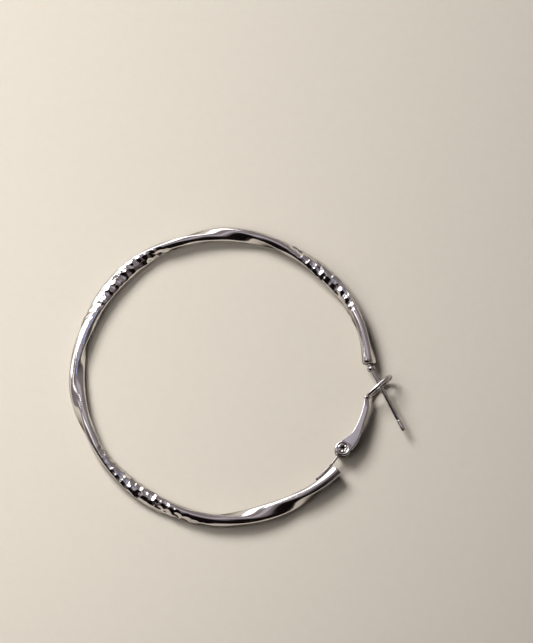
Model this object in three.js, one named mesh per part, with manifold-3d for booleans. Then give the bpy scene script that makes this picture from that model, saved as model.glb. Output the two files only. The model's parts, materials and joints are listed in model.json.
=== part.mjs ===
// A hoop earring lying on a surface with its clasp closed. Millimetres, +Z up.
// The earring is drawn in the plane of its hoop, z = 0, with the middle of the hoop at the origin,
// and is laid down as a whole at the end. Arcs are degrees counter-clockwise from +X.
import * as THREE from "three";
import { mergeVertices } from "three/addons/utils/BufferGeometryUtils.js";
import Module from "manifold-3d";

const wasm = await Module();
wasm.setup();

// Hoop: a flat bar with round edges, twisted as it goes round
const HOOP_RADIUS = 26.3; // middle line of the bar
const BAR_FROM = 4.9; // arc of the end that holds the post
const BAR_TO = 319.3; // arc of the end that holds the hinge
const BAR_WIDTH = 2.85; // across its broad faces
const BAR_THICKNESS = 2.0; // from the hammered face to the smooth one
const EDGE_CRISPNESS = 13; // power of the blend between faces: higher gives sharper edges
const CHAMFER_SLOPE = 52; // of the faces between the broad sides and the narrow ones, degrees
const KEEL_SLOPE = 11; // slope of the smooth face's two flats, degrees
const KEEL_DROP = 0.2; // how far one flat sinks as the ridge runs off the other, share of half a thickness
const BAR_SIDES = 22;
const SMOOTH_STEP = 2.6; // arc between two sections on a smooth stretch, degrees
const HAMMERED_STEP = 1.45; // and on a hammered stretch

// One row for each quarter turn of the bar. at: share of the bar's arc; turned: where the hammered
// face looks, degrees from outward towards the top; wide, thick: shares of BAR_WIDTH and
// BAR_THICKNESS; keel: the ridge's place on the smooth face, -1 at one edge to 1 at the other;
// sway: how far the bar stands outward of the true circle, share of BAR_WIDTH.
const SECTIONS = [
  { at: 0.0, turned: 228, wide: 1.05, thick: 1.06, keel: 0.2, sway: 0.0 },
  { at: 0.048, turned: 182, wide: 0.93, thick: 0.88, keel: 1, sway: 0.02 },
  { at: 0.131, turned: 90, wide: 1.0, thick: 0.97, keel: 0, sway: -0.01 },
  { at: 0.204, turned: 0, wide: 0.93, thick: 1.0, keel: -1, sway: 0.01 },
  { at: 0.268, turned: -90, wide: 0.94, thick: 0.95, keel: 0, sway: 0.045 },
  { at: 0.335, turned: -180, wide: 0.93, thick: 0.88, keel: 1, sway: -0.03 },
  { at: 0.417, turned: -270, wide: 1.06, thick: 1.0, keel: 0, sway: -0.03 },
  { at: 0.503, turned: -360, wide: 1.01, thick: 1.18, keel: -1, sway: -0.02 },
  { at: 0.57, turned: -450, wide: 1.05, thick: 1.05, keel: 0, sway: 0.075 },
  { at: 0.637, turned: -540, wide: 0.97, thick: 0.98, keel: 1, sway: 0.0 },
  { at: 0.732, turned: -630, wide: 0.99, thick: 1.04, keel: 0, sway: -0.045 },
  { at: 0.812, turned: -720, wide: 1.0, thick: 1.12, keel: -1, sway: 0.06 },
  { at: 0.897, turned: -810, wide: 1.12, thick: 1.0, keel: 0, sway: -0.055 },
  { at: 0.975, turned: -896, wide: 1.0, thick: 0.99, keel: 1, sway: 0.06 },
  { at: 1.0, turned: -908, wide: 1.0, thick: 1.1, keel: 1, sway: 0.11 },
];

// How the post's end of the bar narrows: over a share of BAR_WIDTH, to a share of its size.
const END_TAPERS = [
  { along: 0, size: 0.8 },
  { along: 0.12, size: 0.91 },
  { along: 0.34, size: 0.98 },
  { along: 0.7, size: 1 },
];
const BLUNT_END = { along: 0.08, size: 0.93 };

// Hammer marks: one row for each hammered stretch, in shares of the bar's arc.
const STRIKE_DEPTH = 0.17;
const HAMMER_ROUND = 1.7; // radius of the hammer's face
const STRIKE_REACH = 0.37; // how far from the face's middle line the marks run, share of BAR_WIDTH
const HAMMERED = [
  { from: 0.062, to: 0.195, strikes: 27 },
  { from: 0.34, to: 0.488, strikes: 29 },
  { from: 0.642, to: 0.812, strikes: 34 },
];
const STRIKE_ROWS = [-0.62, 0.66, 0.02, -1, 0.95, -0.3, 0.5]; // across the face, share of the reach
const STRIKE_FORCES = [1, 0.72, 0.9, 0.64, 1.1]; // share of STRIKE_DEPTH

// Ear post
const POST_RADIUS = 0.35;
const POST_LENGTH = 13.9; // from the bar's end to the tip
const POST_LEAN = 21.7; // outward from the bar's own direction, degrees
const POST_OFFSET = -0.12; // outward from the bar's middle line at the bar's end
const STUB_RADIUS = 0.44; // between the bar and the collar
const STUB_LENGTH = 0.5;
const COLLAR_RADIUS = 0.68;
const COLLAR_LENGTH = 0.9;
const FOOT_RADIUS = 0.32;
const FOOT_LENGTH = 0.7; // the part inside the bar
const SOLDER_GAP = 0.06; // round the foot and the stub
const GROOVE_FROM_TIP = 2.0;
const GROOVE_DEPTH = 0.09;
const GROOVE_LENGTH = 0.36;

// Hinge
const PIN_INSET = 1.15; // from the bar's middle line towards the middle of the hoop
const PIN_ARC = 327.4;
const PIN_RADIUS = 0.62; // shank of the eyelet
const PIN_BORE = 0.36;
const PIN_HEAD_RADIUS = 0.94;
const PIN_HEAD_HEIGHT = 0.16;
const PIN_CLEARANCE = 0.07; // round the shank, and under each head

// Tongue: a strip soldered along the inner side of the bar, with a neck and an eye
const STRIP_FROM = 310.7;
const STRIP_THICKNESS = 0.38;
const STRIP_GAP = 0.07; // to the bar
const STRIP_OVERHANG = 0.3; // past the end of the bar, degrees
const TONGUE_HEIGHT = 1.15; // of the strip and the eye
const NECK_WIDTH = 0.44;
const NECK_HEIGHT = 0.6;
const EYE_RADIUS = 1.02;

// Lever: a folded sheet arm, open towards the middle of the hoop, and a ring of round wire
const ARM_LENGTH = 10.6; // from the pin to the arm's end
const ARM_DIRECTION = 65.8; // degrees from +X
const SHEET = 0.5;
const CHEEK_GAP = 0.13; // between each cheek and the tongue's eye
const BOSS_RADIUS = 1.35;
const HINGE_ROOM = 0.62; // beyond the eye, left clear of the arm's back for the neck to turn in
const RING_LENGTH = 6.35;
const RING_HEIGHT = 4.4;
const RING_WIRE = 0.72;
const RING_OVERLAP = 0.3; // how far the ring's near end is let into the arm's end
const RING_TURN = -24; // from the arm's direction, degrees

// The arm's sections. at, inner and outer: shares of ARM_LENGTH, along and across it, outer
// towards the outside of the hoop; tall: share of the arm's full height.
const ARM = [
  { at: 0.03, inner: -0.11, outer: 0.155, tall: 1 },
  { at: 0.14, inner: -0.058, outer: 0.184, tall: 1 },
  { at: 0.3, inner: 0.03, outer: 0.19, tall: 1 },
  { at: 0.45, inner: 0.05, outer: 0.176, tall: 0.97 },
  { at: 0.6, inner: 0.048, outer: 0.158, tall: 0.9 },
  { at: 0.73, inner: 0.036, outer: 0.144, tall: 0.8 },
  { at: 0.86, inner: 0.014, outer: 0.114, tall: 0.68 },
  { at: 0.96, inner: -0.016, outer: 0.07, tall: 0.52 },
  { at: 1.01, inner: -0.028, outer: 0.04, tall: 0.38 },
];
const CHANNEL_END = 0.84; // where the hollow of the arm stops, share of ARM_LENGTH

const rad = THREE.MathUtils.degToRad;
const TONGUE_ROOM = TONGUE_HEIGHT + 2 * CHEEK_GAP;
const ARM_HEIGHT = TONGUE_ROOM + 2 * SHEET;

function polar(distance, arc, z = 0) {
  return new THREE.Vector3(distance * Math.cos(rad(arc)), distance * Math.sin(rad(arc)), z);
}

const PIN = polar(HOOP_RADIUS - PIN_INSET, PIN_ARC);

// Solids

function solidOf(geometry) {
  const bare = geometry.index ? geometry.toNonIndexed() : geometry.clone();
  const points = new THREE.BufferGeometry().setAttribute("position", bare.getAttribute("position"));
  const merged = mergeVertices(points, 1e-4);
  return new wasm.Manifold(
    new wasm.Mesh({
      numProp: 3,
      vertProperties: new Float32Array(merged.attributes.position.array),
      triVerts: new Uint32Array(merged.index.array),
    }),
  );
}

function geometryOf(solid) {
  const mesh = solid.getMesh();
  const geometry = new THREE.BufferGeometry();
  geometry.setAttribute("position", new THREE.BufferAttribute(mesh.vertProperties, 3));
  geometry.setIndex(new THREE.BufferAttribute(mesh.triVerts, 1));
  geometry.computeVertexNormals();
  return geometry;
}

// A closed solid through rings of points, each with as many points as the next. The ends are
// capped, or joined to each other where the rings go all the way round.
function loft(rings, goesRound = false) {
  const sides = rings[0].length;
  const vertices = rings.flat();
  const triangles = [];
  const joins = goesRound ? rings.length : rings.length - 1;
  for (let i = 0; i < joins; i++) {
    const next = (i + 1) % rings.length;
    for (let j = 0; j < sides; j++) {
      const k = (j + 1) % sides;
      const [a, b] = [i * sides + j, i * sides + k];
      const [c, d] = [next * sides + j, next * sides + k];
      triangles.push(a, c, b, b, c, d);
    }
  }
  if (!goesRound) {
    for (const last of [false, true]) {
      const first = last ? (rings.length - 1) * sides : 0;
      const middle = new THREE.Vector3();
      rings[last ? rings.length - 1 : 0].forEach((p) => middle.addScaledVector(p, 1 / sides));
      vertices.push(middle);
      for (let j = 0; j < sides; j++) {
        const k = (j + 1) % sides;
        triangles.push(vertices.length - 1, first + (last ? k : j), first + (last ? j : k));
      }
    }
  }
  const geometry = new THREE.BufferGeometry().setFromPoints(vertices);
  geometry.setIndex(triangles);
  const made = solidOf(geometry);
  if (made.volume() > 0) return made;
  for (let i = 0; i < triangles.length; i += 3) {
    [triangles[i + 1], triangles[i + 2]] = [triangles[i + 2], triangles[i + 1]];
  }
  geometry.setIndex(triangles);
  return solidOf(geometry);
}

// A value of a table's column between its rows, on a smooth curve through them.
function between(rows, column, at) {
  const last = rows.length - 1;
  let i = rows.findIndex((row) => row.at > at) - 1;
  if (i < 0) i = at < rows[0].at ? 0 : last - 1;
  const row = (k) => rows[Math.min(Math.max(k, 0), last)];
  const slope = (k) => (row(k + 1)[column] - row(k - 1)[column]) / (row(k + 1).at - row(k - 1).at);
  const span = row(i + 1).at - row(i).at;
  const t = THREE.MathUtils.clamp((at - row(i).at) / span, 0, 1);
  const [t2, t3] = [t * t, t * t * t];
  return (
    (2 * t3 - 3 * t2 + 1) * row(i)[column] +
    (t3 - 2 * t2 + t) * span * slope(i) +
    (3 * t2 - 2 * t3) * row(i + 1)[column] +
    (t3 - t2) * span * slope(i + 1)
  );
}

// Hoop

const BAR_ARC = BAR_TO - BAR_FROM;
const BAR_LENGTH = rad(BAR_ARC) * HOOP_RADIUS;

// Each hammer strike's place along the bar and across its face, and its depth, in millimetres.
function strikes() {
  return HAMMERED.flatMap(({ from, to, strikes: count }) =>
    Array.from({ length: count }, (_, i) => ({
      along: (from + ((to - from) * (i + 0.5)) / count) * BAR_LENGTH,
      across: STRIKE_ROWS[i % STRIKE_ROWS.length] * STRIKE_REACH * BAR_WIDTH,
      depth: STRIKE_FORCES[i % STRIKE_FORCES.length] * STRIKE_DEPTH,
    })),
  );
}

const STRIKES = strikes();

function dentAt(along, across) {
  let depth = 0;
  for (const strike of STRIKES) {
    const away = (along - strike.along) ** 2 + (across - strike.across) ** 2;
    depth = Math.max(depth, strike.depth - away / (2 * HAMMER_ROUND));
  }
  return depth;
}

// Distance from the middle line to the bar's skin, in the direction that lies `around` degrees
// from where the hammered face looks.
function barReach(at, around) {
  const half = {
    wide: (between(SECTIONS, "wide", at) * BAR_WIDTH) / 2,
    thick: (between(SECTIONS, "thick", at) * BAR_THICKNESS) / 2,
  };
  const chamfer = Math.hypot(
    half.thick * Math.cos(rad(CHAMFER_SLOPE)),
    half.wide * Math.sin(rad(CHAMFER_SLOPE)),
  );
  const keel = between(SECTIONS, "keel", at) * KEEL_DROP;
  const faces = [
    { looks: 0, reach: half.thick },
    { looks: 90, reach: half.wide },
    { looks: -90, reach: half.wide },
    { looks: CHAMFER_SLOPE, reach: chamfer },
    { looks: -CHAMFER_SLOPE, reach: chamfer },
    { looks: 180 - CHAMFER_SLOPE, reach: chamfer },
    { looks: 180 + CHAMFER_SLOPE, reach: chamfer },
    { looks: 180 - KEEL_SLOPE, reach: half.thick * (1 - keel) },
    { looks: 180 + KEEL_SLOPE, reach: half.thick * (1 + keel) },
  ];
  const blend = faces.reduce((sum, face) => {
    const towards = Math.max(Math.cos(rad(around - face.looks)), 0);
    return sum + (towards / face.reach) ** EDGE_CRISPNESS;
  }, 0);
  const reach = blend ** (-1 / EDGE_CRISPNESS);
  const facing = Math.max(Math.cos(rad(around)), 0);
  return reach - facing * dentAt(at * BAR_LENGTH, reach * Math.sin(rad(around)));
}

function endSize(at) {
  const fromPost = (at * BAR_LENGTH) / BAR_WIDTH;
  const fromHinge = ((1 - at) * BAR_LENGTH) / BAR_WIDTH;
  const rows = END_TAPERS;
  const i = rows.findIndex((row) => row.along > fromPost);
  if (i > 0) {
    const t = (fromPost - rows[i - 1].along) / (rows[i].along - rows[i - 1].along);
    return THREE.MathUtils.lerp(rows[i - 1].size, rows[i].size, t);
  }
  return fromHinge < BLUNT_END.along / 2 ? BLUNT_END.size : 1;
}

function barSection(at) {
  const arc = BAR_FROM + at * BAR_ARC;
  const turned = between(SECTIONS, "turned", at);
  const middle = HOOP_RADIUS + between(SECTIONS, "sway", at) * BAR_WIDTH;
  return Array.from({ length: BAR_SIDES }, (_, j) => {
    const around = (360 * j) / BAR_SIDES;
    const reach = barReach(at, around) * endSize(at);
    const looks = rad(turned + around);
    return polar(middle + reach * Math.cos(looks), arc, reach * Math.sin(looks));
  });
}

// Where the bar has a section: close together on hammered stretches and at its ends.
function barStations() {
  const share = (millimetres) => millimetres / BAR_LENGTH;
  const ends = END_TAPERS.map((row) => share(row.along * BAR_WIDTH));
  const stations = [...ends];
  let at = ends[ends.length - 1];
  const blunt = 1 - share(BLUNT_END.along * BAR_WIDTH);
  while (at < blunt) {
    const hammered = HAMMERED.some(({ from, to }) => at > from - 0.01 && at < to + 0.005);
    at += (hammered ? HAMMERED_STEP : SMOOTH_STEP) / BAR_ARC;
    if (at < blunt - share(SHEET)) stations.push(at);
  }
  stations.push(blunt, 1);
  return stations;
}

// Ear post

// The post's profile, radius and height, from its foot to its tip. The bar's end is at 0.
function postProfile(gap = 0) {
  const stub = STUB_RADIUS + gap;
  const bead = 0.3 * COLLAR_LENGTH;
  const collar = STUB_LENGTH + COLLAR_LENGTH;
  const wire = POST_RADIUS + gap;
  const groove = POST_LENGTH - GROOVE_FROM_TIP;
  return [
    [0, -FOOT_LENGTH - gap],
    [FOOT_RADIUS + gap, -FOOT_LENGTH - gap],
    [FOOT_RADIUS + gap, -STUB_LENGTH / 2 - gap],
    [stub, -STUB_LENGTH / 2 - gap],
    [stub, STUB_LENGTH],
    [COLLAR_RADIUS - 0.4 * bead, STUB_LENGTH],
    [COLLAR_RADIUS, STUB_LENGTH + bead],
    [COLLAR_RADIUS, collar - bead],
    [COLLAR_RADIUS - 0.3 * bead, collar],
    [wire, collar],
    [wire, groove - GROOVE_LENGTH],
    [wire - GROOVE_DEPTH, groove - GROOVE_LENGTH / 2],
    [wire, groove],
    [wire, POST_LENGTH - POST_RADIUS],
    [0.8 * wire, POST_LENGTH - 0.4 * POST_RADIUS],
    [0.4 * wire, POST_LENGTH - 0.08 * POST_RADIUS],
    [0, POST_LENGTH],
  ].map(([radius, height]) => new THREE.Vector2(radius, height));
}

// The post stands on the bar's end, its foot inside and its tip leaning outward.
function placePost(geometry) {
  const base = polar(HOOP_RADIUS + POST_OFFSET, BAR_FROM);
  const direction = BAR_FROM - 90 + POST_LEAN;
  return geometry.rotateZ(rad(direction - 90)).translate(base.x, base.y, 0);
}

const WIRE_SIDES = 14;

function earPost() {
  return solidOf(placePost(new THREE.LatheGeometry(postProfile(), WIRE_SIDES)));
}

function hoop() {
  const bar = loft(barStations().map(barSection));
  const seat = solidOf(placePost(new THREE.LatheGeometry(postProfile(SOLDER_GAP), WIRE_SIDES)));
  return bar.subtract(seat);
}

// Hinge

const ROUND_SIDES = 24;

// A disc with its axis along Z, between two heights, with its middle on the pin.
function pinDisc(radius, low, high) {
  const disc = new THREE.CylinderGeometry(radius, radius, high - low, ROUND_SIDES);
  disc.rotateX(Math.PI / 2).translate(PIN.x, PIN.y, (low + high) / 2);
  return solidOf(disc);
}

function hingePin() {
  const under = ARM_HEIGHT / 2 + PIN_CLEARANCE;
  const top = under + PIN_HEAD_HEIGHT;
  const soft = 0.4 * PIN_HEAD_HEIGHT;
  const profile = [
    [PIN_BORE, -top],
    [PIN_HEAD_RADIUS - soft, -top],
    [PIN_HEAD_RADIUS, soft - top],
    [PIN_HEAD_RADIUS, -under],
    [PIN_RADIUS, -under],
    [PIN_RADIUS, under],
    [PIN_HEAD_RADIUS, under],
    [PIN_HEAD_RADIUS, top - soft],
    [PIN_HEAD_RADIUS - soft, top],
    [PIN_BORE, top],
    [PIN_BORE, -top],
  ].map(([radius, height]) => new THREE.Vector2(radius, height));
  const eyelet = new THREE.LatheGeometry(profile, ROUND_SIDES);
  eyelet.rotateX(Math.PI / 2).translate(PIN.x, PIN.y, 0);
  return solidOf(eyelet);
}

// The inner side of the bar where the strip lies.
const STRIP_TO = BAR_TO + STRIP_OVERHANG;
const LAST_TURN = SECTIONS[SECTIONS.length - 2];
const BAR_INSIDE =
  HOOP_RADIUS + LAST_TURN.sway * BAR_WIDTH - (LAST_TURN.thick * BAR_THICKNESS) / 2;

function strip() {
  const outer = BAR_INSIDE - STRIP_GAP;
  const inner = outer - STRIP_THICKNESS;
  const shape = new THREE.Shape();
  shape.absarc(0, 0, outer, rad(STRIP_FROM), rad(STRIP_TO), false);
  shape.absarc(0, 0, inner, rad(STRIP_TO), rad(STRIP_FROM), true);
  shape.closePath();
  return shape;
}

function flatPiece(shape, height) {
  const piece = new THREE.ExtrudeGeometry(shape, { depth: height, bevelEnabled: false, curveSegments: 8 });
  return solidOf(piece.translate(0, 0, -height / 2));
}

// A straight flat bar in plan from one point to another.
function link(from, to, width) {
  const side = to.clone().sub(from).normalize().multiplyScalar(width / 2);
  return new THREE.Shape([
    new THREE.Vector2(from.x + side.y, from.y - side.x),
    new THREE.Vector2(to.x + side.y, to.y - side.x),
    new THREE.Vector2(to.x - side.y, to.y + side.x),
    new THREE.Vector2(from.x - side.y, from.y + side.x),
  ]);
}

function hingeTongue() {
  const stripMiddle = BAR_INSIDE - STRIP_GAP - STRIP_THICKNESS / 2;
  const neckRoot = polar(stripMiddle, STRIP_TO - STRIP_OVERHANG);
  const eyeHole = pinDisc(PIN_RADIUS + PIN_CLEARANCE, -TONGUE_HEIGHT, TONGUE_HEIGHT);
  return flatPiece(strip(), TONGUE_HEIGHT)
    .add(flatPiece(link(neckRoot, PIN, NECK_WIDTH), NECK_HEIGHT))
    .add(pinDisc(EYE_RADIUS, -TONGUE_HEIGHT / 2, TONGUE_HEIGHT / 2))
    .subtract(eyeHole);
}

// Lever

// A point in the lever's own frame: along the arm from the pin, and across it to the outside.
function onArm(along, across, z) {
  const point = new THREE.Vector3(along, -across, z);
  return point.applyAxisAngle(new THREE.Vector3(0, 0, 1), rad(ARM_DIRECTION)).add(PIN);
}

function armSection({ at, inner, outer, tall }) {
  const half = (tall * ARM_HEIGHT) / 2;
  const soft = 0.2 * SHEET;
  const [left, right] = [inner * ARM_LENGTH, outer * ARM_LENGTH];
  return [
    [left, -half + soft],
    [left + soft, -half],
    [right - 2 * soft, -half],
    [right, -half + 2 * soft],
    [right, half - 2 * soft],
    [right - 2 * soft, half],
    [left + soft, half],
    [left, half - soft],
  ].map(([across, z]) => onArm(at * ARM_LENGTH, across, z));
}

// The hollow between the cheeks, open on the inner side of the arm.
function channelSection(at) {
  const half = (between(ARM, "tall", at) * ARM_HEIGHT) / 2 - SHEET;
  const back = between(ARM, "outer", at) * ARM_LENGTH - SHEET;
  const front = between(ARM, "inner", at) * ARM_LENGTH - 2 * BOSS_RADIUS;
  return [
    [front, -half],
    [back, -half],
    [back, half],
    [front, half],
  ].map(([across, z]) => onArm(at * ARM_LENGTH, across, z));
}

const ARM_STEPS = 16;

function arm() {
  const first = ARM[0].at;
  const last = ARM[ARM.length - 1].at;
  const sections = Array.from({ length: ARM_STEPS + 1 }, (_, i) => {
    const at = first + ((last - first) * i) / ARM_STEPS;
    return armSection({
      at,
      inner: between(ARM, "inner", at),
      outer: between(ARM, "outer", at),
      tall: between(ARM, "tall", at),
    });
  });
  const hollow = Array.from({ length: ARM_STEPS + 1 }, (_, i) =>
    channelSection((CHANNEL_END * i) / ARM_STEPS - (BOSS_RADIUS / ARM_LENGTH) * (1 - i / ARM_STEPS)),
  );
  const boss = pinDisc(BOSS_RADIUS, -ARM_HEIGHT / 2, ARM_HEIGHT / 2);
  const eyeRoom = pinDisc(EYE_RADIUS + HINGE_ROOM, -TONGUE_ROOM / 2, TONGUE_ROOM / 2);
  const pinHole = pinDisc(PIN_RADIUS + PIN_CLEARANCE, -ARM_HEIGHT, ARM_HEIGHT);
  return loft(sections).add(boss).subtract(loft(hollow)).subtract(eyeRoom).subtract(pinHole);
}

const RING_STEPS = 32;
const RING_SIDES = 10;

// The ring stands square to the plane of the hoop, its near end in the end of the arm.
function ring() {
  const middle = onArm(ARM_LENGTH - RING_OVERLAP, 0, 0);
  const outward = polar(1, ARM_DIRECTION + RING_TURN);
  middle.addScaledVector(outward, RING_LENGTH / 2);
  const long = (RING_LENGTH - RING_WIRE) / 2;
  const tall = (RING_HEIGHT - RING_WIRE) / 2;
  const up = new THREE.Vector3(0, 0, 1);
  const across = new THREE.Vector3().crossVectors(outward, up);
  const rings = Array.from({ length: RING_STEPS }, (_, i) => {
    const t = (2 * Math.PI * i) / RING_STEPS;
    const centre = middle.clone();
    centre.addScaledVector(outward, long * Math.cos(t)).addScaledVector(up, tall * Math.sin(t));
    const away = outward.clone().multiplyScalar(tall * Math.cos(t));
    away.addScaledVector(up, long * Math.sin(t)).normalize();
    return Array.from({ length: RING_SIDES }, (_, j) => {
      const s = (2 * Math.PI * j) / RING_SIDES;
      const point = centre.clone().addScaledVector(away, (Math.cos(s) * RING_WIRE) / 2);
      return point.addScaledVector(across, (Math.sin(s) * RING_WIRE) / 2);
    });
  });
  return loft(rings, true);
}

function lever() {
  return arm().add(ring());
}

// Laying the earring down

// The three points that it rests on: all others are above their plane, and its weight is
// between them.
function supports(points, weight) {
  const plane = new THREE.Plane();
  const flat = (p) => new THREE.Vector3(p.x, p.y, 0);
  for (let i = 0; i < points.length; i++) {
    for (let j = i + 1; j < points.length; j++) {
      for (let k = j + 1; k < points.length; k++) {
        const corners = [points[i], points[j], points[k]];
        const spread = new THREE.Triangle(...corners.map(flat));
        if (spread.getArea() < 1 || !spread.containsPoint(flat(weight))) continue;
        plane.setFromCoplanarPoints(...corners);
        if (plane.normal.z < 0) plane.negate();
        if (points.every((p) => plane.distanceToPoint(p) > -1e-6)) return plane.clone();
      }
    }
  }
  throw new Error("no three points carry the earring");
}

// The lowest point of a solid in each of many sectors round the middle of the hoop.
function lowestPoints(solids, sectors = 60) {
  const lowest = [];
  for (const solid of solids) {
    const { vertProperties, numVert } = solid.getMesh();
    for (let i = 0; i < numVert; i++) {
      const p = new THREE.Vector3().fromArray(vertProperties, 3 * i);
      const turn = Math.atan2(p.y, p.x) / (2 * Math.PI) + 1;
      const sector = Math.floor((turn % 1) * sectors);
      if (!lowest[sector] || p.z < lowest[sector].z) lowest[sector] = p;
    }
  }
  return lowest.filter(Boolean);
}

// Finishes

function metal(name, color, roughness) {
  return new THREE.MeshStandardMaterial({ name, color, roughness, metalness: 1 });
}

const solids = {
  hoop: hoop(),
  ear_post: earPost(),
  hinge_tongue: hingeTongue(),
  hinge_pin: hingePin(),
  lever: lever(),
};
const finishes = {
  hoop: metal("polished_silver", 0xd9d7d6, 0.12),
  ear_post: metal("post_steel", 0xc4c6ca, 0.18),
  hinge_tongue: metal("tongue_silver", 0xcfcdcb, 0.2),
  hinge_pin: metal("pin_silver", 0xdcd8d2, 0.16),
  lever: metal("lever_silver", 0xd2d1d1, 0.14),
};

const earring = new THREE.Group();
for (const [name, solid] of Object.entries(solids)) {
  const mesh = new THREE.Mesh(geometryOf(solid), finishes[name]);
  mesh.name = name;
  earring.add(mesh);
}

// It rests on z = 0, and the origin is below the middle of its box.
const rest = supports(lowestPoints(Object.values(solids)), new THREE.Vector3());
earring.quaternion.setFromUnitVectors(rest.normal, new THREE.Vector3(0, 0, 1));
const box = new THREE.Box3().setFromObject(earring, true);
const middle = box.getCenter(new THREE.Vector3());
earring.position.set(-middle.x, -middle.y, -box.min.z);

export default earring;
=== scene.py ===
# A hoop earring of twisted and hammered bar, lying on a pale surface with its lever closed.
# Each section makes one piece, in the order in which the earring is put together. Lengths are
# metres. Pieces are drawn in the plane of the hoop, its middle at the origin, and laid down last.
import json
import math
import random

import bpy
import numpy as np
from mathutils import Matrix, Vector


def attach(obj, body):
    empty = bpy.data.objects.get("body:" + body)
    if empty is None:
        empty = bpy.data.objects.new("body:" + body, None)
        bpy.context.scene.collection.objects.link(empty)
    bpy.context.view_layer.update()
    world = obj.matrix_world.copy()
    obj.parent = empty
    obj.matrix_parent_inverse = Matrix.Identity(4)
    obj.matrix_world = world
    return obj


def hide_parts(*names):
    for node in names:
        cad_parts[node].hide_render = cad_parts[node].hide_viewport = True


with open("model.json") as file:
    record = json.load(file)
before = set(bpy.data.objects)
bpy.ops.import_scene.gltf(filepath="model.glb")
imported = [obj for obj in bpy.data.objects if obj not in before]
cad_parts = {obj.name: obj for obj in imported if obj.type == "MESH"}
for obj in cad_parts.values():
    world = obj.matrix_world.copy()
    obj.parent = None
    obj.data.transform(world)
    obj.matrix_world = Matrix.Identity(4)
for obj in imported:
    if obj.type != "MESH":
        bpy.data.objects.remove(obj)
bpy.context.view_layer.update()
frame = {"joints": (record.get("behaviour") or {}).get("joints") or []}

# The hoop: a bar cast in zinc alloy, plated bright and polished. It is flat with soft edges and
# twists as it goes round. One broad face is hammered in three stretches, and the other is
# smooth, with a low ridge that wanders from edge to edge. Arcs and slopes are in degrees.
MM = 0.001
HOOP_RADIUS = 26.3 * MM
BAR_FROM, BAR_TO = 4.9, 319.3
BAR_WIDTH = 2.85 * MM
BAR_THICKNESS = 2.0 * MM
BAR_RINGS, BAR_SIDES = 1000, 88
CLOSE_RINGS = [0.02, 0.05, 0.08, 0.11, 0.14, 0.20]  # millimetres from each end
EDGE_CRISPNESS = 10
CHAMFER_SLOPE = 52
KEEL_SLOPE = 11
KEEL_DROP = 0.2  # how far the ridge's sides drop and rise, share of half the thickness
BAR_ARC = BAR_TO - BAR_FROM
BAR_LENGTH = math.radians(BAR_ARC) * HOOP_RADIUS

# One row for each quarter turn. at: share of the arc; turned: where the hammered face looks,
# degrees from outward towards the top; wide, thick: shares of BAR_WIDTH and BAR_THICKNESS;
# keel: the ridge's place on the smooth face; sway: outward of the true circle, share of BAR_WIDTH.
QUARTER_TURNS = [
    dict(at=0.000, turned=228, wide=1.05, thick=1.06, keel=0.2, sway=0.000),
    dict(at=0.048, turned=182, wide=0.93, thick=0.88, keel=1.0, sway=0.020),
    dict(at=0.131, turned=90, wide=1.00, thick=0.97, keel=0.0, sway=-0.010),
    dict(at=0.204, turned=0, wide=0.93, thick=1.00, keel=-1.0, sway=0.010),
    dict(at=0.268, turned=-90, wide=0.94, thick=0.95, keel=0.0, sway=0.045),
    dict(at=0.335, turned=-180, wide=0.93, thick=0.88, keel=1.0, sway=-0.030),
    dict(at=0.417, turned=-270, wide=1.06, thick=1.00, keel=0.0, sway=-0.030),
    dict(at=0.462, turned=-303, wide=1.03, thick=1.09, keel=-0.5, sway=-0.025),
    dict(at=0.503, turned=-360, wide=1.01, thick=1.18, keel=-1.0, sway=-0.020),
    dict(at=0.570, turned=-450, wide=1.05, thick=1.05, keel=0.0, sway=0.075),
    dict(at=0.637, turned=-540, wide=0.97, thick=0.98, keel=1.0, sway=0.000),
    dict(at=0.732, turned=-630, wide=0.99, thick=1.04, keel=0.0, sway=-0.045),
    dict(at=0.812, turned=-720, wide=1.00, thick=1.12, keel=-1.0, sway=0.060),
    dict(at=0.897, turned=-810, wide=1.12, thick=1.00, keel=0.0, sway=-0.055),
    dict(at=0.975, turned=-896, wide=1.00, thick=0.99, keel=1.0, sway=0.060),
    dict(at=1.000, turned=-908, wide=1.00, thick=1.10, keel=1.0, sway=0.110),
]

# How the ends narrow. at: millimetres from the end; size: share of the full section.
POST_END = [
    dict(at=0.00, size=0.78),
    dict(at=0.07, size=0.87),
    dict(at=0.34, size=0.96),
    dict(at=0.97, size=1.00),
    dict(at=2.00, size=1.00),
]
HINGE_END = [
    dict(at=0.00, size=0.92),
    dict(at=0.04, size=0.965),
    dict(at=0.11, size=0.99),
    dict(at=0.25, size=1.00),
]


def between(rows, column, at):
    """A column's value at each `at`, on a smooth curve through the table's rows."""
    places = np.array([row["at"] for row in rows])
    values = np.array([row[column] for row in rows], float)
    slopes = np.gradient(values, places)
    at = np.clip(at, places[0], places[-1])
    i = np.clip(np.searchsorted(places, at, side="right") - 1, 0, len(rows) - 2)
    span = places[i + 1] - places[i]
    t = (at - places[i]) / span
    start = (2 * t**3 - 3 * t**2 + 1) * values[i] + (t**3 - 2 * t**2 + t) * span * slopes[i]
    end = (3 * t**2 - 2 * t**3) * values[i + 1] + (t**3 - t**2) * span * slopes[i + 1]
    return start + end


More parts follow.
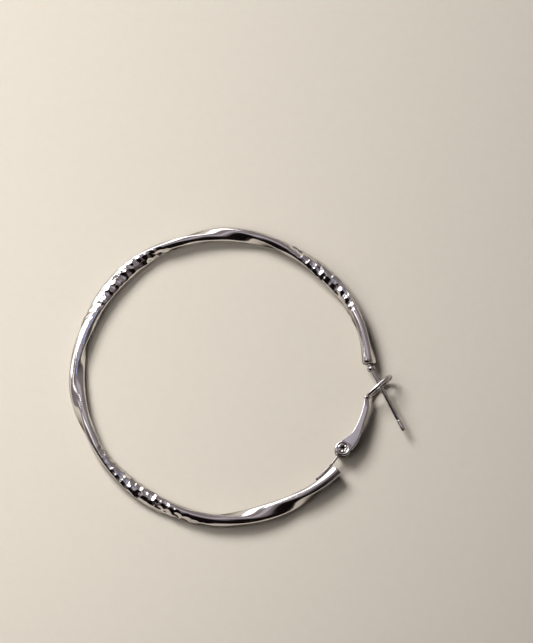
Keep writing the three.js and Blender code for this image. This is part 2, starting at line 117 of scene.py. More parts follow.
# Hammer blows: three stretches, in shares of the bar's length, each with two rows of blows that
# miss their line a little. A blow leaves a round hollow, and where two hollows meet is a ridge, so
# the face breaks up into facets. Towards the ends of a stretch each row fades over its own length.
HAMMERED = [(0.060, 0.200), (0.332, 0.494), (0.636, 0.818)]
BLOW_STEP = 1.45 * MM
BLOW_MISS = 0.3 * MM
BLOW_DEPTH = (0.2 * MM, 0.4 * MM)
BLOW_ROUND = 1.5 * MM
FULL_FROM = 2.8 * MM  # how far from a stretch's ends blows have their full depth
LAST_MARK = 0.1  # the least share of its depth that a blow keeps
HOLLOW_FROM, HOLLOW_FULL = 0.1, 0.6  # share of half the thickness where hollows set in, are full
BLOW_ROWS = [
    dict(across=-0.75 * MM, fade=1.6 * MM),
    dict(across=0.65 * MM, fade=3.6 * MM),
]
rng = random.Random(23)


def hammer_blows():
    """Place along the bar, place across its face and depth of each blow."""
    blows = []
    for start, end in HAMMERED:
        low, high = start * BAR_LENGTH, end * BAR_LENGTH
        for i in range(round((high - low) / BLOW_STEP)):
            for k, row in enumerate(BLOW_ROWS):
                along = low + (i + 0.5 + 0.5 * k) * BLOW_STEP + rng.uniform(-1, 1) * BLOW_MISS
                across = row["across"] + rng.uniform(-1, 1) * BLOW_MISS
                inside = min(along - low, high - along) - FULL_FROM + row["fade"]
                strength = min(max(inside / row["fade"], LAST_MARK), 1)
                blows.append((along, across, rng.uniform(*BLOW_DEPTH) * strength))
    return blows


def bar_rings():
    """The bar's skin: BAR_RINGS rings of BAR_SIDES points."""
    close = np.array(CLOSE_RINGS) * MM
    even = np.linspace(0, BAR_LENGTH, BAR_RINGS - 2 * len(close))
    along = np.sort(np.concatenate([even, close, BAR_LENGTH - close]))[:, None]
    at = along / BAR_LENGTH
    around = np.radians(np.arange(BAR_SIDES) * 360 / BAR_SIDES)[None, :]
    wide = between(QUARTER_TURNS, "wide", at) * BAR_WIDTH / 2
    thick = between(QUARTER_TURNS, "thick", at) * BAR_THICKNESS / 2
    keel = between(QUARTER_TURNS, "keel", at) * KEEL_DROP
    cut = math.radians(CHAMFER_SLOPE)
    chamfer = np.hypot(thick * math.cos(cut), wide * math.sin(cut))
    tilt = math.radians(KEEL_SLOPE)
    faces = [(0, thick), (math.pi / 2, wide), (-math.pi / 2, wide)]
    faces += [(looks, chamfer) for looks in (cut, -cut, math.pi - cut, math.pi + cut)]
    faces += [(math.pi - tilt, thick * (1 - keel)), (math.pi + tilt, thick * (1 + keel))]
    blend = sum((np.maximum(np.cos(around - looks), 0) / reach) ** EDGE_CRISPNESS
                for looks, reach in faces)
    reach = blend ** (-1 / EDGE_CRISPNESS)
    size = between(POST_END, "size", along / MM)
    size = size * between(HINGE_END, "size", (BAR_LENGTH - along) / MM)
    facing, across = reach * size * np.cos(around), reach * size * np.sin(around)
    dent = np.zeros_like(facing)
    for place, row, depth in hammer_blows():
        away = (along - place) ** 2 + (across - row) ** 2
        dent = np.maximum(dent, depth - away / (2 * BLOW_ROUND))
    up_face = facing / (thick * size)
    facing = facing - dent * np.clip((up_face - HOLLOW_FROM) / (HOLLOW_FULL - HOLLOW_FROM), 0, 1)
    looks = np.radians(between(QUARTER_TURNS, "turned", at))
    out = HOOP_RADIUS + between(QUARTER_TURNS, "sway", at) * BAR_WIDTH
    out = out + facing * np.cos(looks) - across * np.sin(looks)
    top = facing * np.sin(looks) + across * np.cos(looks)
    arc = np.radians(BAR_FROM + at * BAR_ARC)
    return np.stack([out * np.cos(arc), out * np.sin(arc), top], -1)


MERGED_BELOW = 0.0001 * MM
SMOOTH_BELOW = math.radians(38)


def clean_up(piece):
    """Merges points that lie on each other, closes open ends and turns all faces outward."""
    bpy.ops.object.mode_set(mode="EDIT")
    bpy.ops.mesh.select_all(action="SELECT")
    bpy.ops.mesh.remove_doubles(threshold=MERGED_BELOW)
    bpy.ops.mesh.dissolve_degenerate(threshold=MERGED_BELOW)
    bpy.ops.mesh.fill_holes(sides=0)
    bpy.ops.mesh.select_all(action="SELECT")
    bpy.ops.mesh.normals_make_consistent(inside=False)
    bpy.ops.object.mode_set(mode="OBJECT")
    piece.data.validate()


def skin(name, rings, closed=False):
    """A piece whose skin goes through rings of points: a grid primitive rolled up along them,
    its seam merged. Its ends are capped, or merged too where the rings close on themselves."""
    rings = np.concatenate([rings, rings[:, :1]], axis=1)
    if closed:
        rings = np.concatenate([rings, rings[:1]], axis=0)
    count, sides = rings.shape[:2]
    bpy.ops.object.select_all(action="DESELECT")
    bpy.ops.mesh.primitive_grid_add(x_subdivisions=sides - 1, y_subdivisions=count - 1)
    piece = bpy.context.object
    piece.name = piece.data.name = name
    piece.data.vertices.foreach_set("co", rings.reshape(-1))
    clean_up(piece)
    bpy.ops.object.shade_smooth_by_angle(angle=SMOOTH_BELOW)
    return piece


class Wire:
    """A shader socket that arithmetic works on."""

    def __init__(self, nodes, socket):
        self.nodes, self.socket = nodes, socket

    def _math(self, operation, *values):
        return self.nodes.add("ShaderNodeMath", values, operation=operation)

    def __add__(self, other):
        return self._math("ADD", self, other)

    def __mul__(self, other):
        return self._math("MULTIPLY", self, other)

    __radd__, __rmul__ = __add__, __mul__


class Nodes:
    """The nodes of a material or of the world."""

    def __init__(self, owner):
        owner.use_nodes = True
        self.tree = owner.node_tree
        self.place = self.add("ShaderNodeTexCoord", out="Object")

    def add(self, kind, values=(), out=0, **settings):
        """One more node. Values go to its sockets in order, or by name where they are a dict."""
        node = self.tree.nodes.new(kind)
        for key, value in settings.items():
            setattr(node, key, value)
        named = values.items() if isinstance(values, dict) else enumerate(values)
        for key, value in named:
            self.feed(node.inputs[key], value)
        return Wire(self, node.outputs[out])

    def feed(self, socket, value):
        if isinstance(value, Wire):
            self.tree.links.new(value.socket, socket)
        else:
            socket.default_value = value

    def noise(self, size, detail=2.0, roughness=0.5, bend=0.0):
        """Soft noise with spots of about this size, from 0 to 1."""
        return self.add("ShaderNodeTexNoise", {
            "Vector": self.place, "Scale": 1 / size, "Detail": detail,
            "Roughness": roughness, "Distortion": bend})

    def blend(self, factor, first, second):
        """A colour between two, each a wire or red, green and blue. A Mix node has its colours
        at sockets 6 and 7, and gives the blended one at output 2."""
        ends = [c if isinstance(c, Wire) else (*c, 1) for c in (first, second)]
        return self.add("ShaderNodeMix", {0: factor, 6: ends[0], 7: ends[1]}, out=2,
                        data_type="RGBA")


# Painted shade: the dark brown that the metal's colour turns where it faces sideways or down.
PAINTED_SHADE_COLOUR = (0.2, 0.155, 0.135)
RIM_TINT = (0.22, 0.18, 0.165, 1)  # what the metal turns the light into where it is seen edge on
PATCH_SIZE, GRAIN_SIZE, HAIR_SIZE = 2.4 * MM, 0.11 * MM, 0.5 * MM
SCRATCH_HEIGHT = 0.01 * MM


def polished(name, bright, dull, roughness, cloud, scratch):
    """Polished metal: it clouds in soft patches from bright to dull, has fine random scratches,
    and has painted shade: a dark brown colour on its lower sides, where it looks sideways or down."""
    metal = bpy.data.materials.new(name)
    nodes = Nodes(metal)
    surface = nodes.tree.nodes["Principled BSDF"]
    surface.inputs["Metallic"].default_value = 1
    surface.inputs["Specular Tint"].default_value = RIM_TINT
    patches = nodes.noise(PATCH_SIZE, detail=3.0)
    grain = nodes.noise(GRAIN_SIZE, detail=4.0, roughness=0.7)
    hairs = nodes.noise(HAIR_SIZE, detail=6.0, roughness=0.8, bend=2.5)
    # Painted shade, stored on the points: how much of the dark brown the metal takes on its lower
    # sides.
    painted_shade = nodes.add("ShaderNodeAttribute", out=2, attribute_name="painted_shade")
    clean = nodes.blend(patches, bright, dull)
    nodes.feed(surface.inputs["Base Color"], nodes.blend(painted_shade, clean, PAINTED_SHADE_COLOUR))
    nodes.feed(surface.inputs["Roughness"], roughness + (patches * hairs) * cloud)
    bump = nodes.add("ShaderNodeBump", {
        "Strength": scratch, "Distance": SCRATCH_HEIGHT, "Height": grain + hairs})
    nodes.feed(surface.inputs["Normal"], bump)
    return metal


plating = polished("polished_plating", bright=(0.86, 0.84, 0.82), dull=(0.76, 0.74, 0.73),
                   roughness=0.1, cloud=0.16, scratch=0.3)

# The joint gives the plane of the hoop: its axis points down through the pin.
PIN_INSET, PIN_ARC = 1.15 * MM, 327.4


def polar(distance, arc, height=0.0):
    return Vector((distance * math.cos(math.radians(arc)),
                   distance * math.sin(math.radians(arc)), height))


hinge = frame["joints"][0]
PIN = polar(HOOP_RADIUS - PIN_INSET, PIN_ARC)
upright = -Vector(hinge["axis"]).normalized()
LAID = Vector((0, 0, 1)).rotation_difference(upright).to_matrix().to_4x4()
LAID = Matrix.Translation(Vector(hinge["pos_m"]) - LAID @ PIN) @ LAID

PAINTED_SHADE_BELOW = 0.62  # upward part of a point's normal, under which the painted shade sets in
PAINTED_SHADE_SHARE = 0.75  # how much painted shade lies where the metal looks sideways or down


def lay_down(piece, material, body, slot, *nodes):
    """Lays a finished piece down with the hoop and hands it to its body. Its painted shade, dark
    brown where its points face sideways or down, is stored as an attribute of its points."""
    piece.data.transform(LAID)
    looks = np.empty(len(piece.data.vertices) * 3)
    piece.data.vertices.foreach_get("normal", looks)
    # Painted shade: more dark brown the further a point's normal turns from up, full where it
    # looks sideways or down.
    painted_shade = np.clip((PAINTED_SHADE_BELOW - looks[2::3]) / PAINTED_SHADE_BELOW, 0, 1) * PAINTED_SHADE_SHARE
    piece.data.attributes.new("painted_shade", "FLOAT", "POINT").data.foreach_set("value", painted_shade)
    piece.data.materials.clear()
    piece.data.materials.append(material)
    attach(piece, body)
    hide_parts(*nodes)


rings = bar_rings()
bar = skin("twisted_bar", rings)
lay_down(bar, plating, "hoop", "polished_silver", "hoop")

# The ear post: a straight steel wire soldered into the bar's end, on a short stub with a bead
# that stops the lobe. A groove is rolled in near its tip.
POST_RADIUS = 0.35 * MM
POST_LENGTH = 13.78 * MM
POST_LEAN = 21.7  # degrees outward from the bar's own direction
POST_INSET = 0.12 * MM  # inward from the bar's true circle
STUB_RADIUS, STUB_LENGTH, STUB_SUNK = 0.44 * MM, 0.5 * MM, 0.1 * MM
BEAD_RADIUS, BEAD_LENGTH, BEAD_ROOM = 0.74 * MM, 0.92 * MM, 0.05 * MM
BEAD_SWELL, BEAD_FULLNESS = 0.42, 0.6  # share of its length that it swells by, and how fully
GROOVE_FROM_TIP, GROOVE_DEPTH, GROOVE_LENGTH = 2.0 * MM, 0.09 * MM, 0.36 * MM
TIP_LENGTH, TIP_FLAT = 0.22 * MM, 0.35  # the tip's rounding, and the share that stays flat
TIP_TURN = math.pi / 2 * 12 / 13  # how far round the tip's rounding goes
BEAD_ROWS, GROOVE_ROWS, TIP_ROWS = 13, 9, 7
ROUND_SIDES = 48


def turned_rings(profile):
    """Rings of points round the Z axis, from rows of radius and height."""
    turn = np.arange(ROUND_SIDES) * 2 * math.pi / ROUND_SIDES
    rows = np.array(profile)
    return np.stack([rows[:, :1] * np.cos(turn), rows[:, :1] * np.sin(turn),
                     rows[:, 1:] + 0 * turn], -1)


def post_profile():
    """Rows of radius and height, from the stub's sunk end to the tip."""
    rows = [(STUB_RADIUS, -STUB_SUNK), (STUB_RADIUS, STUB_LENGTH - BEAD_ROOM)]
    middle = STUB_LENGTH + BEAD_LENGTH / 2
    swell = BEAD_LENGTH * BEAD_SWELL
    for turn in np.linspace(0, math.pi, BEAD_ROWS):
        full = max(math.sin(turn), 0) ** BEAD_FULLNESS
        rows.append((BEAD_RADIUS - swell * (1 - full),
                     middle - BEAD_LENGTH / 2 * math.cos(turn)))
    rows.append((POST_RADIUS, STUB_LENGTH + BEAD_LENGTH))
    groove = POST_LENGTH - GROOVE_FROM_TIP - GROOVE_LENGTH
    for share in np.linspace(0, 1, GROOVE_ROWS):
        dip = math.sin(math.pi * share) ** 2
        rows.append((POST_RADIUS - GROOVE_DEPTH * dip, groove + GROOVE_LENGTH * share))
    for turn in np.linspace(0, TIP_TURN, TIP_ROWS):
        rows.append((POST_RADIUS * (TIP_FLAT + (1 - TIP_FLAT) * math.cos(turn)),
                     POST_LENGTH - TIP_LENGTH * (1 - math.sin(turn))))
    return rows


post_steel = polished("post_wire", bright=(0.7, 0.68, 0.67), dull=(0.5, 0.49, 0.49),
                      roughness=0.1, cloud=0.18, scratch=0.3)
post = skin("ear_wire", turned_rings(post_profile()))
lean = math.radians(BAR_FROM - 90 + POST_LEAN)
post.data.transform(Matrix.Translation(polar(HOOP_RADIUS - POST_INSET, BAR_FROM))
                    @ Matrix.Rotation(lean, 4, "Z") @ Matrix.Rotation(math.pi / 2, 4, "Y"))
lay_down(post, post_steel, "hoop", "post_steel", "ear_post")

# The hinge tongue: a thin strip soldered along the inner side of the bar, drawn out to a round
# neck, and ending between the lever's cheeks in a flat eye with square shoulders.
STRIP_FROM, STRIP_TO = 310.7, 319.6
STRIP_THICKNESS, STRIP_GAP = 0.46 * MM, 0.07 * MM
STRIP_END, STRIP_SWELL = 0.7, 3  # share of the section at its ends, and how fast it gets full
TONGUE_HEIGHT = 1.15 * MM
NECK_WIDTH, NECK_HEIGHT, NECK_SQUARENESS = 0.44 * MM, 0.6 * MM, 2.2
NECK_BACK = 0.3  # degrees from the strip's end
NECK_FROM, NECK_TO = -0.08, 0.7  # share of the way to the pin
EYE_RADIUS, EYE_EDGE = 1.02 * MM, 0.06 * MM
SHOULDER_WIDTH, SHOULDER_SQUARENESS = 1.1 * MM, 7
SHOULDER = [(0.70, 1.00), (1.45, 1.00), (1.52, 0.96), (1.55, 0.86)]  # reach in mm, size
PIN_RADIUS, PIN_CLEARANCE = 0.62 * MM, 0.07 * MM
NARROWED_RINGS = 14  # rings of the bar's narrowed end, which the strip doesn't follow
STRIP_RINGS, NECK_RINGS = 25, 12


def oval_ring(centre, out, up, wide, tall, squareness=4.0, sides=32):
    """A ring of points round a centre: an oval with flattened sides."""
    points = []
    for j in range(sides):
        turn = 2 * math.pi * (j + 0.5) / sides
        c, s = math.cos(turn), math.sin(turn)
        reach = (abs(c) ** squareness + abs(s) ** squareness) ** (-1 / squareness)
        points.append(centre + out * (reach * c * wide / 2) + up * (reach * s * tall / 2))
    return points


def carve(piece, tool, operation="DIFFERENCE"):
    """Cuts a tool's shape out of a piece, or joins it on, and removes the tool."""
    bpy.ops.object.select_all(action="DESELECT")
    bpy.context.view_layer.objects.active = piece
    piece.select_set(True)
    cut = piece.modifiers.new("cut", "BOOLEAN")
    cut.operation, cut.object, cut.solver = operation, tool, "EXACT"
    bpy.ops.object.modifier_apply(modifier=cut.name)
    bpy.data.objects.remove(tool)
    clean_up(piece)


def disc(radius, low, high, edge=0.0):
    """A disc on the pin's axis, with its rims rounded."""
    bpy.ops.object.select_all(action="DESELECT")
    bpy.ops.mesh.primitive_cylinder_add(vertices=72, radius=radius, depth=high - low,
                                        location=(PIN.x, PIN.y, (low + high) / 2))
    piece = bpy.context.object
    bpy.ops.object.transform_apply(location=True, rotation=True, scale=True)
    if edge:
        rims = piece.modifiers.new("rims", "BEVEL")
        rims.width, rims.segments, rims.limit_method = edge, 4, "ANGLE"
        bpy.ops.object.modifier_apply(modifier=rims.name)
    return piece


def strip_middle(arc):
    """How far from the middle of the hoop the strip runs, to follow the bar's inner side."""
    last = len(rings) - NARROWED_RINGS
    ring = rings[min(int((arc - BAR_FROM) / BAR_ARC * len(rings)), last)]
    beside = ring[np.abs(ring[:, 2]) < TONGUE_HEIGHT / 2]
    return np.hypot(beside[:, 0], beside[:, 1]).min() - STRIP_GAP - STRIP_THICKNESS / 2


UP = Vector((0, 0, 1))
neck_root = polar(strip_middle(STRIP_TO), STRIP_TO - NECK_BACK)
neck_way = (neck_root - PIN).normalized()
tongue_rings = []
for share in np.linspace(0, 1, STRIP_RINGS):
    arc = STRIP_FROM + (STRIP_TO - STRIP_FROM) * share
    size = min(1, STRIP_END + STRIP_SWELL * min(share, 1 - share))
    tongue_rings.append(oval_ring(polar(strip_middle(arc), arc), polar(1, arc), UP,
                                  STRIP_THICKNESS * size, TONGUE_HEIGHT * size))
tongue = skin("tongue", np.array(tongue_rings))
side = neck_way.cross(UP)
neck_rings = [oval_ring(neck_root.lerp(PIN, share), side, UP,
                        NECK_WIDTH, NECK_HEIGHT, NECK_SQUARENESS)
              for share in np.linspace(NECK_FROM, NECK_TO, NECK_RINGS)]
neck = skin("neck", np.array(neck_rings))
shoulder_rings = [oval_ring(PIN + neck_way * reach * MM, side, UP,
                            SHOULDER_WIDTH * size, TONGUE_HEIGHT * size, SHOULDER_SQUARENESS)
                  for reach, size in SHOULDER]
shoulder = skin("shoulder", np.array(shoulder_rings))
carve(tongue, neck, "UNION")
carve(tongue, shoulder, "UNION")
carve(tongue, disc(EYE_RADIUS, -TONGUE_HEIGHT / 2, TONGUE_HEIGHT / 2, EYE_EDGE), "UNION")
carve(tongue, disc(PIN_RADIUS + PIN_CLEARANCE, -TONGUE_HEIGHT, TONGUE_HEIGHT))
bpy.ops.object.shade_smooth_by_angle(angle=SMOOTH_BELOW)
tongue_metal = polished("tongue_plating", bright=(0.6, 0.56, 0.53), dull=(0.36, 0.33, 0.31),
                        roughness=0.2, cloud=0.2, scratch=0.4)
lay_down(tongue, tongue_metal, "hoop", "tongue_silver", "hinge_tongue")

# The hinge pin: an eyelet rivet whose two ends are rolled over the lever's cheeks by a tool that
# leaves the lip a little uneven.
SHEET = 0.5 * MM
CHEEK_GAP = 0.13 * MM
PIN_BORE, BORE_EDGE = 0.36 * MM, 0.1 * MM
PIN_WAIST = 0.3 * MM  # height of the rows between the two heads
PIN_HEAD_RADIUS, PIN_HEAD_GAP = 0.85 * MM, 0.02 * MM
ARM_HEIGHT = TONGUE_HEIGHT + 2 * CHEEK_GAP + 2 * SHEET
LIP_WAVES, LIP_WAVE, WAVY_FROM = 6, 0.04 * MM, 0.1 * MM
PIN_RINGS = 72

# Millimetres inward from the head's rim and outward from its foot.
LIP = [(0.02, 0.00), (0.00, 0.03), (0.08, 0.07), (0.22, 0.10), (0.35, 0.09), (0.46, 0.03)]
head_foot = ARM_HEIGHT / 2 + PIN_HEAD_GAP
rows = [(PIN_RADIUS, PIN_WAIST), (PIN_RADIUS, head_foot)]
rows += [(PIN_HEAD_RADIUS - inward * MM, head_foot + up * MM) for inward, up in LIP]
rows.append((PIN_BORE, head_foot - BORE_EDGE))
rows += [(PIN_BORE, PIN_WAIST)] + [(radius, -height) for radius, height in reversed(rows)]
eyelet_rings = []
for i in range(PIN_RINGS):
    turn = 2 * math.pi * i / PIN_RINGS
    wave = LIP_WAVE * math.cos(LIP_WAVES * turn)
    ring = []
    for radius, height in rows:
        wavy = abs(height) > head_foot and radius < PIN_HEAD_RADIUS - WAVY_FROM
        drop = (wave + LIP_WAVE) * math.copysign(1, height) if wavy else 0
        ring.append((PIN.x + radius * math.cos(turn), PIN.y + radius * math.sin(turn),
                     height - drop))
    eyelet_rings.append(ring)
eyelet = skin("eyelet_rivet", np.array(eyelet_rings), closed=True)
rivet_metal = polished("rivet_plating", bright=(0.86, 0.83, 0.79), dull=(0.70, 0.67, 0.64),
                       roughness=0.07, cloud=0.16, scratch=0.3)
lay_down(eyelet, rivet_metal, "hoop", "pin_silver", "hinge_pin")

# The lever's arm: sheet folded to a channel that is open towards the middle of the hoop, with two
# round cheeks on the eyelet. Its back is rounded by the fold, and its end is drawn narrow.
ARM_LENGTH = 10.6 * MM
ARM_DIRECTION = 65.8
BOSS_RADIUS = 1.35 * MM
HINGE_ROOM = 0.62 * MM

# at: share of the arm's length; inner, outer: the channel's edges, outward from the line through
# the pin along the arm, shares of that length too; tall: share of ARM_HEIGHT.
ARM = [
    dict(at=0.03, inner=-0.110, outer=0.155, tall=1.00),
    dict(at=0.14, inner=-0.058, outer=0.184, tall=1.00),
    dict(at=0.30, inner=0.030, outer=0.190, tall=1.00),
    dict(at=0.45, inner=0.050, outer=0.176, tall=0.97),
    dict(at=0.60, inner=0.048, outer=0.158, tall=0.90),
    dict(at=0.73, inner=0.036, outer=0.144, tall=0.80),
    dict(at=0.86, inner=0.014, outer=0.114, tall=0.68),
    dict(at=0.96, inner=-0.016, outer=0.070, tall=0.52),
    dict(at=1.01, inner=-0.028, outer=0.040, tall=0.38),
]
CHANNEL_END = 0.84
ARM_RINGS, CHANNEL_RINGS, CORNER_POINTS = 60, 40, 7
BACK_ROUND, RIM_ROUND = 0.38 * MM, 0.1 * MM
BACK_LIMITS, RIM_LIMITS = (0.5, 0.9), (0.45, 0.8)  # largest shares of depth and half height
BEAD_AROUND, BEAD_WIRE, BEAD_SUNK = 1.11 * MM, 0.32 * MM, 0.26 * MM
ALONG = polar(1, ARM_DIRECTION)
ACROSS = polar(1, ARM_DIRECTION - 90)


def soft_box(left, right, half, centre):
    """A ring round a channel's outline: rounded tightly at the left and fully at the right."""
    tight = min(RIM_ROUND, RIM_LIMITS[0] * (right - left), RIM_LIMITS[1] * half)
    full = min(BACK_ROUND, BACK_LIMITS[0] * (right - left), BACK_LIMITS[1] * half)
    corners = [(left + tight, half - tight, tight, 90), (left + tight, tight - half, tight, 180),
               (right - full, full - half, full, 270), (right - full, half - full, full, 360)]
    points = []
    for across, height, radius, start in corners:
        for turn in np.radians(np.linspace(start, start + 90, CORNER_POINTS)):
            points.append(centre + ACROSS * (across + radius * math.cos(turn))
                          + UP * (height + radius * math.sin(turn)))
    return points


def arm_rings(low, high, steps, hollow=False):
    """Rings along the arm, round its outside or round the hollow that opens its inner side."""
    rings = []
    for at in np.linspace(low, high, steps):
        inner, outer, tall = (float(between(ARM, c, at)) for c in ("inner", "outer", "tall"))
        left, right, half = inner * ARM_LENGTH, outer * ARM_LENGTH, tall * ARM_HEIGHT / 2
        centre = PIN + ALONG * float(at) * ARM_LENGTH
        if hollow:
            left, right, half = left - 2 * BOSS_RADIUS, right - SHEET, half - SHEET
            corners = [(left, half), (left, -half), (right, -half), (right, half)]
            rings.append([centre + ACROSS * a + UP * h for a, h in corners])
        else:
            rings.append(soft_box(left, right, half, centre))
    return np.array(rings)


arm = skin("lever_arm", arm_rings(ARM[0]["at"], ARM[-1]["at"], ARM_RINGS))
carve(arm, disc(BOSS_RADIUS, -ARM_HEIGHT / 2, ARM_HEIGHT / 2, RIM_ROUND), "UNION")
for side_of in (-1, 1):
    bpy.ops.object.select_all(action="DESELECT")
    bpy.ops.mesh.primitive_torus_add(
        major_radius=BEAD_AROUND, minor_radius=BEAD_WIRE, major_segments=96, minor_segments=24,
        location=(PIN.x, PIN.y, side_of * (ARM_HEIGHT / 2 - BEAD_SUNK)))
    bpy.ops.object.transform_apply(location=True, rotation=True, scale=True)
    carve(arm, bpy.context.object, "UNION")
channel = arm_rings(-BOSS_RADIUS / ARM_LENGTH, CHANNEL_END, CHANNEL_RINGS, hollow=True)
carve(arm, skin("channel", channel))
tongue_room = TONGUE_HEIGHT / 2 + CHEEK_GAP
carve(arm, disc(EYE_RADIUS + HINGE_ROOM, -tongue_room, tongue_room))
carve(arm, disc(PIN_RADIUS + PIN_CLEARANCE, -ARM_HEIGHT, ARM_HEIGHT))
bpy.ops.object.shade_smooth_by_angle(angle=SMOOTH_BELOW)
lever_metal = polished("lever_plating", bright=(0.84, 0.82, 0.81), dull=(0.74, 0.72, 0.71),
                       roughness=0.1, cloud=0.16, scratch=0.3)
lay_down(arm, lever_metal, "lever", "lever_silver", "lever")

# The lever's ring: round wire bent to an oval that stands square to the plane of the hoop,
# soldered to the arm's end. The ear post goes through it.
RING_LENGTH, RING_HEIGHT = 6.35 * MM, 4.4 * MM
RING_WIRE = 0.72 * MM
RING_OVERLAP = 0.3 * MM
RING_TURN = -24  # degrees from the arm's direction
RING_STEPS, WIRE_SIDES = 96, 24
SOLDER_RADIUS, SOLDER_BACK, SOLDER_RAISED = 0.46 * MM, 0.1 * MM, 0.12 * MM
SOLDER_TALLER = 1.2
SOLDER_SMOOTH_BELOW = math.radians(60)
ring_out = polar(1, ARM_DIRECTION + RING_TURN)
ring_middle = PIN + ALONG * (ARM_LENGTH - RING_OVERLAP) + ring_out * (RING_LENGTH / 2)
long, tall = (RING_LENGTH - RING_WIRE) / 2, (RING_HEIGHT - RING_WIRE) / 2
wire_rings = []
for i in range(RING_STEPS):
    turn = 2 * math.pi * i / RING_STEPS
    centre = ring_middle + ring_out * (long * math.cos(turn)) + UP * (tall * math.sin(turn))
    away = (ring_out * (tall * math.cos(turn)) + UP * (long * math.sin(turn))).normalized()
    wire_rings.append(oval_ring(centre, away, ring_out.cross(UP), RING_WIRE, RING_WIRE,
                                squareness=2, sides=WIRE_SIDES))
wire_ring = skin("lever_ring", np.array(wire_rings), closed=True)
bpy.ops.object.select_all(action="DESELECT")
bpy.ops.mesh.primitive_uv_sphere_add(
    segments=32, ring_count=20, radius=SOLDER_RADIUS,
    location=PIN + ALONG * (ARM_LENGTH - SOLDER_BACK) + UP * SOLDER_RAISED)
solder = bpy.context.object
solder.scale = (1, 1, SOLDER_TALLER)
bpy.ops.object.transform_apply(location=True, rotation=True, scale=True)
carve(wire_ring, solder, "UNION")
bpy.ops.object.shade_smooth_by_angle(angle=SOLDER_SMOOTH_BELOW)
lay_down(wire_ring, lever_metal, "lever", "lever_silver", "lever")

# The surface: a sheet of pale warm paper that the earring lies on. It is a little mottled and
# has a faint soft grain.
PAPER_SIZE = 3
PAPER_PALE, PAPER_SHADED = (0.815, 0.755, 0.665), (0.785, 0.725, 0.64)
MOTTLE_SIZE = 1.6 * MM
FIBRE_SIZE, FIBRE_HEIGHT = 0.5 * MM, 0.06 * MM
bpy.ops.object.select_all(action="DESELECT")
bpy.ops.mesh.primitive_plane_add(size=PAPER_SIZE)
surface = bpy.context.object
surface.name = "surface"
paper = bpy.data.materials.new("pale_sheet")
nodes = Nodes(paper)
sheet = nodes.tree.nodes["Principled BSDF"]
mottle = nodes.noise(MOTTLE_SIZE, detail=4.0, roughness=0.6)
nodes.feed(sheet.inputs["Base Color"], nodes.blend(mottle, PAPER_PALE, PAPER_SHADED))
sheet.inputs["Roughness"].default_value = 0.7
fibres = nodes.noise(FIBRE_SIZE, detail=3.0)
nodes.feed(sheet.inputs["Normal"], nodes.add("ShaderNodeBump", {
    "Strength": 0.8, "Distance": FIBRE_HEIGHT, "Height": fibres}))
surface.data.materials.append(paper)

# The camera looks down on the hoop's plane at a slight slant, from the side of the lower edge of
# the picture and a little to the left. It has the photograph's scale at the hoop.
IMAGE_WIDTH, IMAGE_HEIGHT = 533, 643
PIXEL = 0.18 * MM
HOOP_AT = (224.3, 376.2)  # the pixel of the hoop's middle
LEAN = math.radians(14.35)
SIDEWAYS = 0.08  # leftward share of the lean
DISTANCE = 0.9
SENSOR = 36  # millimetres, as Blender has sensors and lenses
view = Vector((-SIDEWAYS * math.sin(LEAN), -math.sin(LEAN), math.cos(LEAN))).normalized()
right = (Vector((1, 0, 0)) - view * view.x).normalized()
over = view.cross(right)
aim = (right * (IMAGE_WIDTH / 2 - HOOP_AT[0]) + over * (HOOP_AT[1] - IMAGE_HEIGHT / 2)) * PIXEL
bpy.ops.object.camera_add()
camera = bpy.context.object
camera.data.sensor_width = SENSOR
camera.data.lens = SENSOR * DISTANCE / (IMAGE_HEIGHT * PIXEL)
turned = Matrix((right, over, view)).transposed().to_4x4()
camera.matrix_world = LAID @ Matrix.Translation(aim + view * DISTANCE) @ turned
bpy.context.scene.camera = camera

# The light: a key from the upper left that throws the shadows, a close soft fill from the left,
# and panels that only the metal mirrors, in a grey room that it mirrors too. The key's mirrored
# panel stands a little nearer than the key, because at one place they would hide each other.
MIDDLE = LAID @ Vector((0, 0, 0))


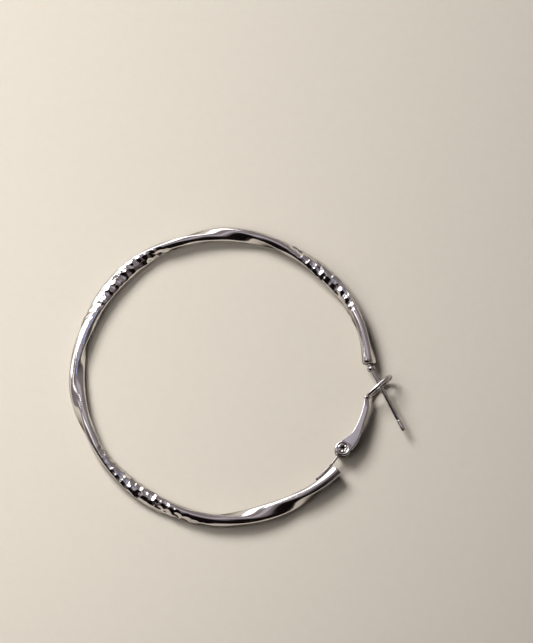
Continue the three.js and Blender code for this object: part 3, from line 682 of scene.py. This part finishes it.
def panel(name, azimuth, elevation, distance, size, colour, radiance, mirrored):
    """A panel that faces the hoop. Azimuth is degrees counter-clockwise from +X, and elevation
    degrees above the surface. It is either only mirrored, or lights but isn't mirrored."""
    flat = polar(distance * math.cos(math.radians(elevation)), azimuth)
    place = MIDDLE + flat + UP * distance * math.sin(math.radians(elevation))
    bpy.ops.object.light_add(type="AREA", location=place)
    light = bpy.context.object
    light.name = name
    light.rotation_euler = (place - MIDDLE).to_track_quat("Z", "Y").to_euler()
    light.data.shape = "RECTANGLE"
    light.data.size, light.data.size_y = size
    light.data.color = colour
    light.data.energy = radiance * size[0] * size[1] * math.pi
    light.visible_camera = False
    light.visible_diffuse = not mirrored
    light.visible_glossy = mirrored


panel("key", 134, 46, 0.42, (0.19, 0.19), (1.0, 0.985, 0.96), 15.2, mirrored=False)
panel("key_mirrored", 134, 46, 0.38, (0.14, 0.14), (1.0, 0.99, 0.975), 8.0, mirrored=True)
panel("fill", 205, 60, 0.13, (0.1, 0.1), (1.0, 0.97, 0.93), 1.6, mirrored=False)
panel("window", 130, 16, 0.55, (0.85, 0.4), (1.0, 0.99, 0.98), 2.3, mirrored=True)
panel("skylight", 178, 60, 0.55, (0.14, 0.14), (1.0, 0.99, 0.98), 1.3, mirrored=True)
panel("ceiling", 84, 72, 0.6, (0.3, 0.2), (0.88, 0.85, 1.0), 0.3, mirrored=True)
panel("blue_glint", 5, 63, 0.6, (0.025, 0.08), (0.2, 0.42, 1.0), 4.0, mirrored=True)

# The room that the metal mirrors: grey walls, dimmer at the lower right, and nearly black low
# down behind the camera.
WALLS, DIM_SIDE, DARK_SIDE = (0.21, 0.178, 0.185), (0.08, 0.062, 0.062), (0.005, 0.003, 0.003)
room = bpy.data.worlds.new("room")
nodes = Nodes(room)
towards = nodes.add("ShaderNodeTexCoord", out="Generated")


def towards_side(azimuth, height, far, near):
    """From 0 to 1 as the view into the room nears a direction, which has this azimuth and rises
    by this height for each metre outward. It sets in at the cosine far and is full at near."""
    aside = nodes.add("ShaderNodeVectorMath", (towards, polar(1, azimuth, height).normalized()),
                      out=1, operation="DOT_PRODUCT")
    return nodes.add("ShaderNodeMapRange", {"Value": aside, "From Min": far, "From Max": near},
                     interpolation_type="SMOOTHSTEP")


dim = towards_side(azimuth=325, height=0.2, far=0.5, near=0.85)
dark = towards_side(azimuth=256, height=0.48, far=0.42, near=0.64)
walls = nodes.blend(dim, WALLS, DIM_SIDE)
nodes.feed(nodes.tree.nodes["Background"].inputs["Color"], nodes.blend(dark, walls, DARK_SIDE))
room.cycles_visibility.diffuse = False
bpy.context.scene.world = room
bpy.context.scene.view_settings.view_transform = "Standard"
